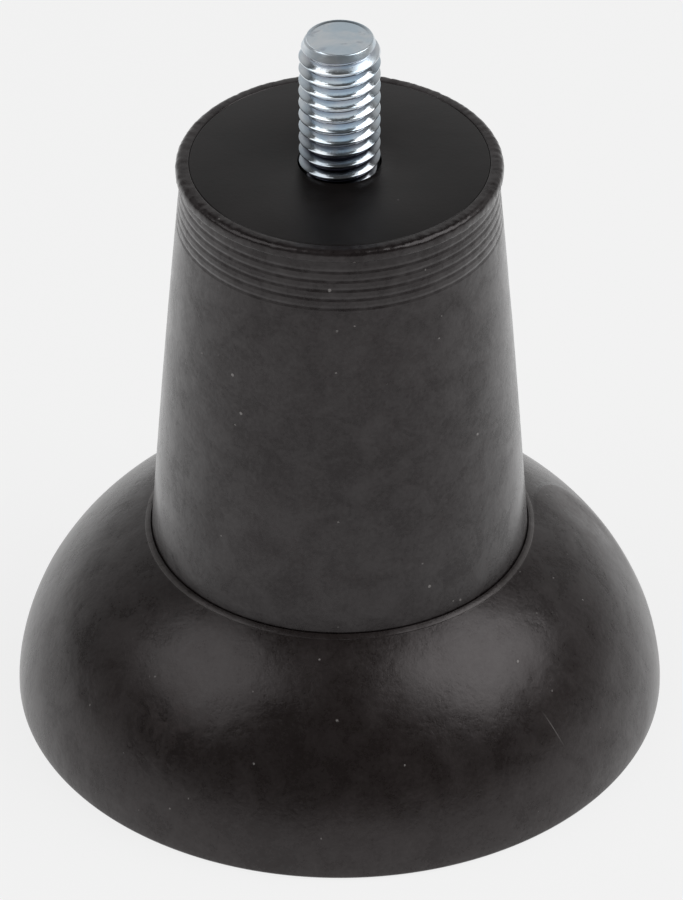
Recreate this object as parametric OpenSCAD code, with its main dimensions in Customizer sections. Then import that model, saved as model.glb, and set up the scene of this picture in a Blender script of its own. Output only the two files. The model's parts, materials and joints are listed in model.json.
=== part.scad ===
// Furniture levelling foot with a swivel base.
// A threaded stud stands out of the top face and screws into the furniture. The neck turns with
// the stud, while the rubber base stays still on the floor, because it pivots on a spacer tube.
// Millimetres, +Z up, origin on the floor at the middle of the sole.

/* [Overall] */
// Diameter of the rubber base at the floor
base_d = 50; // [41.6:0.2:60]
// Height from the floor to the top face that carries the furniture
body_h = 48; // [40:0.2:58]

/* [Stud and hardware] */
// Crest diameter of the thread
thread_d = 6; // [5:0.1:7.2]
// Pitch of the thread
thread_pitch = 1; // [0.8:0.05:1.25]
// Length of thread that stands out of the top face
stud_out = 10.7; // [8:0.1:20]
// Length of the cone at the tip
tip_h = 1.2; // [0.4:0.1:1.6]
// Width of the cone at the tip, measured inwards from the crest
tip_w = 0.55; // [0.4:0.05:1]
// Clear height between the floor and the bolt head
head_gap = 4.5; // [3.5:0.1:4.8]
// Height of the bolt head
head_h = 4; // [3.4:0.1:4.8]
// Wall of the bolt head and the nut, from the thread's crest to the flats
hex_wall = 2; // [1.8:0.1:2.4]
// Height of the nut's hexagon
nut_h = 4.8; // [4:0.1:5.8]
// Width of the large washer, from the thread's crest to its edge
washer_w = 6; // [5:0.1:7]
// Thickness of the large washer under the base
washer_t = 1.6; // [1.2:0.1:1.9]
// Wall of the spacer tube
tube_wall = 1.35; // [1:0.05:1.6]
// Height of the round collar that holds the nut's nylon ring
nut_collar_h = 1.2; // [1:0.1:1.4]
// Wall of the nut's round collar
nut_collar_wall = 0.5; // [0.4:0.1:0.6]
// Radial thickness of the nylon ring in the nut
nylon_w = 1.1; // [0.9:0.05:1.3]

/* [Top plate] */
// Thickness of the plate in the top of the neck
plate_t = 2; // [1.6:0.1:2.4]
// Width of the bevel round the plate's top edge
plate_bevel = 0.15; // [0.1:0.05:0.2]
// Radial gap between the stud and the hole in the plate
plate_hole_gap = 0.1; // [0.1:0.05:0.4]

/* [Neck] */
// Diameter of the neck's cone just under the rim
neck_top_d = 23.5; // [22:0.1:28.2]
// Diameter of the neck's cone at the collar of the base
neck_foot_d = 28.8; // [27:0.1:34.6]
// Thickness of the neck's rubber sleeve
sleeve_wall = 2; // [1.6:0.1:2.4]
// How far the rim stands out from the cone
rim_out = 0.35; // [0.2:0.05:0.5]
// Width of the rubber rim round the plate
rim_w = 1; // [0.9:0.05:1.3]
// Height of the rim
rim_h = 0.95; // [0.9:0.05:1.3]
// Radius of the rim's outer edge
rim_round = 0.7; // [0.4:0.05:0.7]
// Number of fine rings round the top of the neck
ring_count = 5; // [3:1:7]
// Spacing of the fine rings
ring_pitch = 0.76; // [0.6:0.02:0.92]
// Depth of the fine rings
ring_depth = 0.1; // [0.06:0.01:0.15]
// Width of the fine rings
ring_w = 0.34; // [0.24:0.02:0.42]
// Distance from the top face to the first fine ring
ring_first = 1.86; // [1.7:0.02:2.3]

/* [Neck core] */
// Wall of the core's outer cone
core_wall = 1.8; // [1.5:0.1:2.1]
// Wall of the hub round the spacer tube
hub_wall = 1.8; // [1.5:0.1:2.2]
// Number of ribs between hub and cone
core_ribs = 8; // [6:1:10]
// Thickness of those ribs
core_rib_t = 1.2; // [0.8:0.1:1.6]
// Thickness of the solid deck under the nut
deck_t = 3; // [2:0.5:4]
// Clear height between the lock nut and the top plate
nut_headroom = 1; // [0.5:0.5:4]

/* [Base] */
// Height of the collar where the neck enters the base
collar_h = 14.9; // [14.2:0.1:17.8]
// Height of the face that the neck turns on
seat_h = 12; // [11.8:0.1:12.6]
// Radius where the shoulder's curve would be level
shoulder_r = 9.5; // [8:0.1:11.4]
// Fullness of the shoulder: 2 is an ellipse, and less is leaner
shoulder_power = 1.8; // [1.6:0.05:2.15]
// Thickness of the rubber lip round the neck
lip_t = 0.25; // [0.2:0.05:0.4]
// Height of the rubber lip above the shoulder
lip_h = 0.3; // [0.2:0.05:0.5]
// Radius of the sole's outer edge
sole_edge = 0.3; // [0.2:0.1:0.5]
// Rubber between the base core and the outside at the floor
boot_wall = 4.8; // [4:0.1:5.7]
// How far the rubber reaches in under the base core
boot_grip = 2.6; // [2:0.1:3.1]
// Number of grooves in the sole
tread_count = 3; // [2:1:3]
// Width of a sole groove
tread_w = 0.9; // [0.7:0.1:1.1]
// Depth of a sole groove
tread_depth = 0.7; // [0.5:0.1:0.9]

/* [Base core] */
// Height of the core's underside above the floor
core_floor = 5.2; // [4.6:0.1:5.6]
// Thickness of the core's flange
flange_t = 3.2; // [2.6:0.1:3.6]
// Width of the step between flange and cone
flange_step = 1; // [0.6:0.1:1.4]
// Height of the pivot boss above the core
pivot_h = 6.4; // [5.4:0.1:7.6]
// Wall of the pivot boss
pivot_wall = 1.6; // [1.4:0.1:1.9]
// Number of ribs under the core
floor_ribs = 12; // [8:1:14]
// Thickness of those ribs
floor_rib_t = 1.2; // [1:0.1:1.5]
// Depth of the pockets between them
pocket_depth = 3; // [2.4:0.1:3.3]
// Wall on each side of the pockets
pocket_wall = 1.4; // [1.1:0.1:1.7]
// Wall of the bush in the pivot boss
bush_wall = 1; // [0.8:0.05:1.2]
// Radial width of the glide ring
glide_w = 3.2; // [2.8:0.1:3.6]
// Thickness of the glide ring
glide_t = 1; // [0.9:0.05:1.15]
// How far the glide ring stands out of the core
glide_proud = 0.35; // [0.25:0.05:0.45]

/* [Clearances] */
// Radial running clearance of the tube in the bush
run_gap = 0.05; // [0.03:0.01:0.08]
// Gap between faces that turn on each other
face_gap = 0.05; // [0.03:0.01:0.1]
// Gap between the neck and the collar of the base
collar_gap = 0.2; // [0.1:0.05:0.3]
// Gap between the pivot boss and the neck core above it
boss_gap = 0.5; // [0.3:0.1:1]
// Gap between the washer's edge and its recess
recess_gap = 0.6; // [0.4:0.1:0.8]
// Gap between the sleeve's foot and the seat
sleeve_lift = 0.3; // [0.2:0.1:0.5]
// Radial gap between the thread's crests and the tube or washer
shank_gap = 0.15; // [0.1:0.05:0.3]
// Radial gap between the shank and the nut
nut_gap = 0.03; // [0.02:0.01:0.05]
// Gap between the nut and its hexagonal pocket
pocket_gap = 0.05; // [0.03:0.01:0.1]

/* [Hidden] */
$fn = 96;

rubber = [0.07, 0.065, 0.065];
nylon_black = [0.10, 0.10, 0.11];
nylon_white = [0.85, 0.84, 0.80];
zinc = [0.72, 0.76, 0.80];
black_steel = [0.06, 0.055, 0.06];

// Depth of a metric thread's pitch line below its crest, for a pitch of 1
pitch_line = 0.325;

curve_steps = 14;
corner_steps = 5;
cut = 0.5;

// Heights, from the floor upwards
washer_z = head_gap + head_h;
tube_z = washer_z + washer_t;
hub_z = tube_z + face_gap;
core_top_z = seat_h - face_gap - glide_proud;
glide_z = seat_h - face_gap - glide_t;
pivot_top_z = core_top_z + pivot_h;
neck_hub_z = pivot_top_z + boss_gap;
sleeve_z = seat_h + sleeve_lift;
plate_z = body_h - plate_t;
nut_z = plate_z - nut_headroom - nut_collar_h - nut_h;
deck_z = nut_z - deck_t;
rim_z = body_h - rim_h;
tip_z = body_h + stud_out;
flange_z = core_floor + flange_t;
lip_z = collar_h + lip_h;

// Radii, from the axis outwards
stud_r = thread_d / 2;
shank_r = stud_r - pitch_line * thread_pitch;
flats_r = stud_r + hex_wall;
washer_r = stud_r + washer_w;
nylon_r = shank_r + nut_gap + nylon_w;
tube_bore_r = stud_r + shank_gap;
tube_r = tube_bore_r + tube_wall;
core_bore_r = tube_r + run_gap;
bush_r = core_bore_r + bush_wall;
pivot_r = bush_r + pivot_wall;
neck_hub_r = core_bore_r + hub_wall;
recess_r = washer_r + recess_gap;
rim_r = neck_top_d / 2 + rim_out;
plate_r = rim_r - rim_w;
glide_in_r = neck_r(seat_h) - sleeve_wall - core_wall / 2 - glide_w / 2;
glide_out_r = glide_in_r + glide_w;
seat_r = neck_r(core_top_z) + collar_gap;
flange_r = base_d / 2 - boot_wall;
boot_hole_r = flange_r - boot_grip;
lip_r = neck_r(lip_z) + collar_gap + lip_t;

// Radius of the neck's outer cone at height z
function neck_r(z) =
    (neck_foot_d + (neck_top_d - neck_foot_d) * (z - collar_h) / (rim_z - collar_h)) / 2;

// Radius of the neck core's inner cone at height z
function cell_r(z) = neck_r(z) - sleeve_wall - core_wall;

// Points along an arc of radius r round (x, y), from angle a to angle b
function arc(x, y, r, a, b, steps = corner_steps) =
    [for (i = [0:steps]) let (t = a + (b - a) * i / steps) [x + r * cos(t), y + r * sin(t)]];

// The shoulder's superellipse, from the sole's edge up to the lip
shoulder_w = base_d / 2 - shoulder_r;
shoulder_share = 1 - pow((lip_r - shoulder_r) / shoulder_w, shoulder_power);
shoulder_h = (collar_h - sole_edge) / pow(shoulder_share, 1 / shoulder_power);
function shoulder_point(z) =
    let (share = 1 - pow((z - sole_edge) / shoulder_h, shoulder_power))
    [shoulder_r + shoulder_w * pow(share, 1 / shoulder_power), z];

// The core's outline against the rubber, from the seat's edge down to its underside
core_edge = [
    [seat_r, core_top_z],
    [flange_r - flange_step, flange_z],
    [flange_r, flange_z],
    [flange_r, core_floor]
];

// A hexagonal block standing on height z, with its corners turned off at the chosen ends
module hex_block(z, h, low_bevel, high_bevel) {
    corner_r = flats_r / cos(30);
    drop = (corner_r - flats_r) * tan(30);
    spill = cut * tan(30);
    translate([0, 0, z])
        intersection() {
            cylinder(r = corner_r, h = h, $fn = 6);
            rotate_extrude()
                polygon([
                    [0, 0],
                    [low_bevel ? flats_r : corner_r + cut, 0],
                    [corner_r + cut, low_bevel ? drop + spill : 0],
                    [corner_r + cut, high_bevel ? h - drop - spill : h],
                    [high_bevel ? flats_r : corner_r + cut, h],
                    [0, h]
                ]);
        }
}

// A round tube standing on height z
module ring(inner_r, outer_r, z, h) {
    translate([0, 0, z])
        difference() {
            cylinder(r = outer_r, h = h);
            translate([0, 0, -cut]) cylinder(r = inner_r, h = h + 2 * cut);
        }
}

// Upright ribs that reach out from the axis, spread evenly round it
module ribs(count, thickness, reach, z, h) {
    for (i = [0:count - 1])
        rotate([0, 0, i * 360 / count])
            translate([0, -thickness / 2, z]) cube([reach, thickness, h]);
}

module stud_bolt() {
    color(zinc)
        union() {
            hex_block(head_gap, head_h, true, false);
            translate([0, 0, washer_z]) cylinder(r = shank_r, h = body_h - washer_z);
            translate([0, 0, body_h]) cylinder(r = stud_r, h = stud_out - tip_h);
            translate([0, 0, tip_z - tip_h]) cylinder(r1 = stud_r, r2 = stud_r - tip_w, h = tip_h);
        }
}

module head_washer() {
    color(zinc) ring(tube_bore_r, washer_r, washer_z, washer_t);
}

module spacer_tube() {
    color(zinc) ring(tube_bore_r, tube_r, tube_z, nut_z - tube_z);
}

module lock_nut() {
    collar_z = nut_z + nut_h;
    color(zinc)
        difference() {
            union() {
                hex_block(nut_z, nut_h, true, true);
                translate([0, 0, collar_z - cut])
                    cylinder(r = nylon_r + nut_collar_wall, h = nut_collar_h + cut);
            }
            translate([0, 0, nut_z - cut])
                cylinder(r = shank_r + nut_gap, h = nut_h + nut_collar_h + 2 * cut);
            translate([0, 0, collar_z]) cylinder(r = nylon_r, h = nut_collar_h + cut);
        }
}

module nut_nylon_ring() {
    color(nylon_white) ring(shank_r + nut_gap, nylon_r, nut_z + nut_h, nut_collar_h);
}

module top_plate() {
    hole_r = stud_r + plate_hole_gap;
    color(black_steel)
        rotate_extrude()
            polygon([
                [hole_r, plate_z],
                [plate_r, plate_z],
                [plate_r, body_h - plate_bevel],
                [plate_r - plate_bevel, body_h],
                [hole_r, body_h]
            ]);
}

// The hollow inside the neck core: a room for the pivot boss, with cells between ribs above it
module neck_core_hollow() {
    rotate_extrude()
        polygon([
            [0, seat_h - cut],
            [cell_r(seat_h - cut), seat_h - cut],
            [cell_r(neck_hub_z), neck_hub_z],
            [0, neck_hub_z]
        ]);
    difference() {
        rotate_extrude()
            polygon([
                [neck_hub_r, seat_h],
                [cell_r(seat_h), seat_h],
                [cell_r(deck_z), deck_z],
                [neck_hub_r, deck_z]
            ]);
        ribs(core_ribs, core_rib_t, neck_foot_d / 2, seat_h - cut, deck_z - seat_h + 2 * cut);
    }
}

module neck_core() {
    color(nylon_black)
        difference() {
            rotate_extrude()
                polygon([
                    [core_bore_r, seat_h],
                    [neck_r(seat_h) - sleeve_wall, seat_h],
                    [neck_r(plate_z) - sleeve_wall, plate_z],
                    [core_bore_r, plate_z]
                ]);
            neck_core_hollow();
            translate([0, 0, nut_z])
                cylinder(r = (flats_r + pocket_gap) / cos(30), h = plate_z - nut_z + cut, $fn = 6);
        }
}

// Outline of one fine ring: a shallow groove with a round bottom, from its upper edge downwards
function ring_points(z) =
    [for (a = [90:-45:-90]) [neck_r(z) - ring_depth * cos(a), z + ring_w / 2 * sin(a)]];

module neck_sleeve() {
    color(rubber)
        rotate_extrude()
            polygon(concat(
                [
                    [neck_r(sleeve_z) - sleeve_wall, sleeve_z],
                    [neck_r(plate_z) - sleeve_wall, plate_z],
                    [plate_r, plate_z],
                    [plate_r, body_h - plate_bevel],
                    [plate_r + plate_bevel, body_h]
                ],
                arc(rim_r - rim_round, body_h - rim_round, rim_round, 90, 0),
                [
                    [rim_r, rim_z + rim_out / 2],
                    [neck_r(rim_z), rim_z - rim_out / 2]
                ],
                [for (i = [0:ring_count - 1]) each ring_points(body_h - ring_first - i * ring_pitch)],
                [[neck_r(sleeve_z), sleeve_z]]
            ));
}

module base_core() {
    color(nylon_black)
        difference() {
            rotate_extrude()
                polygon(concat(
                    [
                        [bush_r, pivot_top_z],
                        [pivot_r, pivot_top_z],
                        [pivot_r, core_top_z],
                        [glide_in_r, core_top_z],
                        [glide_in_r, glide_z],
                        [glide_out_r, glide_z],
                        [glide_out_r, core_top_z]
                    ],
                    core_edge,
                    [
                        [recess_r, core_floor],
                        [recess_r, hub_z],
                        [bush_r, hub_z]
                    ]
                ));
            difference() {
                ring(recess_r + pocket_wall, boot_hole_r - pocket_wall,
                     core_floor - cut, pocket_depth + cut);
                ribs(floor_ribs, floor_rib_t, base_d / 2, core_floor - 2 * cut, pocket_depth + 4 * cut);
            }
        }
}

module pivot_bush() {
    color(nylon_white) ring(core_bore_r, bush_r, hub_z, pivot_top_z - hub_z);
}

module glide_ring() {
    color(nylon_white) ring(glide_in_r, glide_out_r, glide_z, glide_t);
}

// Outline of one sole groove centred on radius r, from the inside outwards
function tread_points(r) = [
    [r - tread_w / 2, 0],
    [r - tread_w / 4, tread_depth],
    [r + tread_w / 4, tread_depth],
    [r + tread_w / 2, 0]
];

module sole_boot() {
    inner_edge = boot_hole_r + sole_edge;
    tread_pitch = (base_d / 2 - sole_edge - inner_edge) / (tread_count + 1);
    color(rubber)
        rotate_extrude()
            polygon(concat(
                [[boot_hole_r, sole_edge], [inner_edge, 0]],
                [for (i = [1:tread_count]) each tread_points(inner_edge + i * tread_pitch)],
                arc(base_d / 2 - sole_edge, sole_edge, sole_edge, -90, 0),
                [for (i = [1:curve_steps])
                    shoulder_point(sole_edge + (collar_h - sole_edge) * sin(90 * i / curve_steps))],
                [
                    [lip_r, lip_z - lip_t / 2],
                    [lip_r - lip_t / 3, lip_z],
                    [neck_r(lip_z) + collar_gap, lip_z - lip_t / 3]
                ],
                core_edge,
                [[boot_hole_r, core_floor]]
            ));
}

stud_bolt();
head_washer();
spacer_tube();
lock_nut();
nut_nylon_ring();
top_plate();
neck_core();
neck_sleeve();
base_core();
pivot_bush();
glide_ring();
sole_boot();
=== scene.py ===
"""Finished pieces, finishes and studio for a furniture levelling foot.

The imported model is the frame. It holds every size that fits or moves, and this script adds the
shapes that it leaves plain: the thread, the moulded edges, the fine rings and the ribbed underside.
All lengths are in metres unless a name says otherwise.
"""

import json
import logging
import math
from dataclasses import dataclass, field
from enum import Enum
from typing import Callable, Sequence, Union

import bmesh
import bpy
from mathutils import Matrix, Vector


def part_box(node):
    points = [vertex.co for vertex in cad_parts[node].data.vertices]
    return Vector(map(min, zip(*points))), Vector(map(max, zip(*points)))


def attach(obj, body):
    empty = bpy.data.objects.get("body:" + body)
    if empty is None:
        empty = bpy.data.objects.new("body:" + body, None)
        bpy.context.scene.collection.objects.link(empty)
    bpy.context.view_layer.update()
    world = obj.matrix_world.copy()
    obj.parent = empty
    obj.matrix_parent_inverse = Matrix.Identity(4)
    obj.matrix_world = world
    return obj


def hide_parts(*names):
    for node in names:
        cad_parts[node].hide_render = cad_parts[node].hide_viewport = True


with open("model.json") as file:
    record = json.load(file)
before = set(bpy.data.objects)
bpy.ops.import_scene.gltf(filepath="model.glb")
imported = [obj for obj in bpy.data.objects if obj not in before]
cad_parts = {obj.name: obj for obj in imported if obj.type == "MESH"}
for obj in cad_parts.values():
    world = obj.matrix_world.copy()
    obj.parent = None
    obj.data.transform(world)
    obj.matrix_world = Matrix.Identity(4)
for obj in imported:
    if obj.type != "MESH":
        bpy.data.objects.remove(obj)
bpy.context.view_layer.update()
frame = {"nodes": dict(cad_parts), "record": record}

MM = 0.001
FULL_TURN = 2 * math.pi
UP = (0, 0, 1)
# Points closer than this become one point after solids are combined
WELD = 0.0005 * MM
# A rounded corner uses at most this share of each edge beside it
EDGE_SHARE = 0.48
# A corner whose half angle is wider than this is nearly straight, and isn't rounded
STRAIGHT = math.radians(88)
# Half of the angle between two corners of a hexagon
HEXAGON_HALF = math.radians(30)

log = logging.getLogger("levelling_foot")

Colour = tuple[float, float, float]


# ---------------------------------------------------------------- sizes from the frame


class Body(Enum):
    """The two bodies that turn against each other."""

    LEG = "leg"
    BASE = "base"


@dataclass(frozen=True)
class Extent:
    """The room that one node of the frame takes up."""

    radius: float
    bottom: float
    top: float

    @classmethod
    def of(cls, node: str) -> "Extent":
        """Measures a node.

        Args:
            node: The node's name in the frame.

        Returns:
            Its outer radius along X, and its lowest and highest height.
        """
        low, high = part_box(node)
        return cls(radius=high.x, bottom=low.z, top=high.z)


def stud_mount() -> dict:
    """Finds the stud among the frame's mounts.

    Returns:
        The mount's entry, with its crest radius in dims.
    """
    return next(mount for mount in frame["record"]["mounts"] if mount["name"] == "stud")


# ---------------------------------------------------------------- outlines and modelling


@dataclass(frozen=True)
class Corner:
    """One corner of an outline: distance from the axis, height, and how far it is rounded."""

    r: float
    z: float
    rounding: float = 0.0


def rounded(corners: Sequence[Corner], steps: int = 4) -> list[Vector]:
    """Rounds the corners of a closed outline.

    Args:
        corners: The outline's corners in order.
        steps: The number of edges in each rounded corner.

    Returns:
        The outline's points, as (r, z) vectors.
    """
    points: list[Vector] = []
    for index, corner in enumerate(corners):
        here = Vector((corner.r, corner.z))
        back = Vector((corners[index - 1].r, corners[index - 1].z)) - here
        ahead_corner = corners[(index + 1) % len(corners)]
        ahead = Vector((ahead_corner.r, ahead_corner.z)) - here
        half_angle = back.angle(ahead) / 2
        if corner.rounding == 0 or half_angle > STRAIGHT:
            points.append(here)
            continue
        reach = min(corner.rounding / math.tan(half_angle),
                    back.length * EDGE_SHARE, ahead.length * EDGE_SHARE)
        radius = reach * math.tan(half_angle)
        start = here + back.normalized() * reach
        end = here + ahead.normalized() * reach
        middle = here + (back.normalized() + ahead.normalized()).normalized() * math.hypot(reach, radius)
        for step in range(steps + 1):
            spoke = (start - middle).slerp(end - middle, step / steps)
            points.append(middle + spoke.normalized() * radius)
    return points


def start_fresh() -> None:
    """Leaves edit mode and deselects everything."""
    if bpy.context.object is not None and bpy.context.object.mode != "OBJECT":
        bpy.ops.object.mode_set(mode="OBJECT")
    bpy.ops.object.select_all(action="DESELECT")


def make_active(piece: bpy.types.Object) -> None:
    """Selects one object alone and makes it the active one."""
    start_fresh()
    piece.select_set(True)
    bpy.context.view_layer.objects.active = piece


def apply_place(piece: bpy.types.Object) -> None:
    """Puts the object at the origin, with its place in its mesh."""
    make_active(piece)
    bpy.ops.object.transform_apply(location=True, rotation=True, scale=True)


def close_mesh(threshold: float = 1e-7) -> None:
    """Merges doubles and turns every face outwards, in edit mode."""
    bpy.ops.mesh.select_all(action="SELECT")
    bpy.ops.mesh.remove_doubles(threshold=threshold)
    bpy.ops.mesh.dissolve_degenerate(threshold=threshold)
    bpy.ops.mesh.select_all(action="SELECT")
    bpy.ops.mesh.normals_make_consistent(inside=False)


def draw_outline(name: str, points: Sequence[Vector], closed: bool) -> bpy.types.Object:
    """Draws an outline in the XZ plane by extruding one point from corner to corner.

    Args:
        name: The new object's name.
        points: The outline's (r, z) points.
        closed: Whether the last point is joined to the first.

    Returns:
        The object, in edit mode.
    """
    start_fresh()
    bpy.ops.mesh.primitive_plane_add(size=MM, location=(points[0].x, 0, points[0].y))
    piece = bpy.context.object
    piece.name = name
    piece.data.name = name
    bpy.ops.object.transform_apply(location=True)
    bpy.ops.object.mode_set(mode="EDIT")
    bpy.ops.mesh.select_all(action="SELECT")
    bpy.ops.mesh.merge(type="CENTER")
    for here, there in zip(points, points[1:]):
        move = (there.x - here.x, 0, there.y - here.y)
        bpy.ops.mesh.extrude_region_move(TRANSFORM_OT_translate={"value": move})
    if closed:
        mesh = bmesh.from_edit_mesh(piece.data)
        bpy.ops.mesh.select_all(action="DESELECT")
        for vertex in mesh.verts:
            vertex.select = len(vertex.link_edges) == 1
        mesh.select_flush_mode()
        bmesh.update_edit_mesh(piece.data)
        bpy.ops.mesh.edge_face_add()
    return piece


def spin_piece(name: str, points: Sequence[Vector], steps: int = 192) -> bpy.types.Object:
    """Turns a closed outline round the Z axis, as on a lathe.

    Args:
        name: The new object's name.
        points: The outline's (r, z) points.
        steps: The number of steps in the full turn.

    Returns:
        The turned solid.
    """
    piece = draw_outline(name, points, closed=True)
    bpy.ops.mesh.select_all(action="SELECT")
    bpy.ops.mesh.spin(steps=steps, angle=FULL_TURN, center=(0, 0, 0), axis=UP)
    close_mesh()
    bpy.ops.mesh.delete_loose(use_verts=True, use_edges=True, use_faces=False)
    bpy.ops.object.mode_set(mode="OBJECT")
    return piece


def add_modifier(piece: bpy.types.Object, kind: str, **settings: object) -> None:
    """Adds a modifier, sets it and applies it.

    Args:
        piece: The object to change.
        kind: The modifier's type.
        settings: Its properties by name.
    """
    make_active(piece)
    modifier = piece.modifiers.new(kind.lower(), kind)
    for key, value in settings.items():
        setattr(modifier, key, value)
    bpy.ops.object.modifier_apply(modifier=modifier.name)


class Cut(Enum):
    """How one solid changes another."""

    REMOVE = "DIFFERENCE"
    KEEP = "INTERSECT"
    JOIN = "UNION"


def combine(piece: bpy.types.Object, tool: bpy.types.Object, cut: Cut) -> None:
    """Combines a solid with a tool solid, tidies the join and deletes the tool.

    Args:
        piece: The solid that stays.
        tool: The solid that is used up.
        cut: What the tool does.
    """
    add_modifier(piece, "BOOLEAN", operation=cut.value, object=tool, solver="EXACT")
    bpy.data.objects.remove(tool)
    bpy.ops.object.mode_set(mode="EDIT")
    close_mesh(threshold=WELD)
    bpy.ops.object.mode_set(mode="OBJECT")


def smooth(piece: bpy.types.Object, angle: float = 35) -> None:
    """Shades a piece smoothly, with sharp edges kept where faces meet at more than an angle."""
    make_active(piece)
    bpy.ops.object.shade_smooth_by_angle(angle=math.radians(angle))


def copy_round(piece: bpy.types.Object, count: int) -> None:
    """Repeats a piece evenly round the Z axis, each copy with its own mesh, and joins them.

    Args:
        piece: The piece to repeat.
        count: How many there are in the full turn.
    """
    copies = [piece]
    for index in range(1, count):
        make_active(piece)
        bpy.ops.object.duplicate(linked=False)
        bpy.ops.transform.rotate(
            value=index * FULL_TURN / count, orient_axis="Z", center_override=(0, 0, 0)
        )
        bpy.ops.object.transform_apply(location=True, rotation=True)
        copies.append(bpy.context.object)
    make_active(piece)
    for copy in copies:
        copy.select_set(True)
    bpy.ops.object.join()


@dataclass(frozen=True)
class Waves:
    """Unevenness of a surface: the width of a wave, how far it moves, and where the pattern starts."""

    size: float
    depth: float
    start: float


def off_axis(at: Vector) -> float:
    """Gives a point's distance from the Z axis."""
    return math.hypot(at.x, at.y)


def climb(value: float, low: float, run: float) -> float:
    """Gives 0 up to a low value, then a straight rise to 1 at the end of the run."""
    return min(1.0, max(0.0, (value - low) / run))


def roughen(piece: bpy.types.Object, waves: Waves, place: Callable[[Vector], float]) -> None:
    """Moves parts of a surface in and out a little, as moulded rubber does.

    Args:
        piece: The piece to change.
        waves: The unevenness.
        place: Gives how much of the depth applies at a point, from 0 to 1.
    """
    group = piece.vertex_groups.new(name="roughened")
    for vertex in piece.data.vertices:
        weight = place(vertex.co)
        if weight > 0:
            group.add([vertex.index], weight, "REPLACE")
    pattern = bpy.data.textures.new(f"{piece.name}_waves", "CLOUDS")
    pattern.noise_scale = waves.size
    pattern.noise_depth = 2
    holder = bpy.data.objects.new("pattern_place", None)
    bpy.context.scene.collection.objects.link(holder)
    holder.location = (waves.start, waves.start, 0)
    bpy.context.view_layer.update()
    add_modifier(piece, "DISPLACE", texture=pattern, texture_coords="OBJECT",
                 texture_coords_object=holder, strength=waves.depth, mid_level=0.5,
                 vertex_group=group.name)
    bpy.data.objects.remove(holder)
    piece.vertex_groups.clear()


# ---------------------------------------------------------------- shader expressions


Number = Union[float, "Signal"]


class Signal:
    """A node's output that takes part in sums and products as a number does."""

    def __init__(self, sheet: "NodeSheet", socket: bpy.types.NodeSocket) -> None:
        """Wraps a socket.

        Args:
            sheet: The sheet that the node is on.
            socket: The node's output.
        """
        self.sheet = sheet
        self.socket = socket

    def _math(self, operation: str, first: Number, second: Number) -> "Signal":
        """Adds a Math node and returns its output."""
        return self.sheet.add("ShaderNodeMath", {"operation": operation}, {0: first, 1: second})

    def __add__(self, other: Number) -> "Signal":
        """Gives self + other."""
        return self._math("ADD", self, other)

    __radd__ = __add__

    def __sub__(self, other: Number) -> "Signal":
        """Gives self - other."""
        return self._math("SUBTRACT", self, other)

    def __rsub__(self, other: Number) -> "Signal":
        """Gives other - self."""
        return self._math("SUBTRACT", other, self)

    def __mul__(self, other: Number) -> "Signal":
        """Gives self * other."""
        return self._math("MULTIPLY", self, other)

    __rmul__ = __mul__

    def __abs__(self) -> "Signal":
        """Gives the size of self without its sign."""
        return self._math("ABSOLUTE", self, 0.0)

    def larger(self, other: Number) -> "Signal":
        """Gives the larger of self and other."""
        return self._math("MAXIMUM", self, other)


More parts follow.
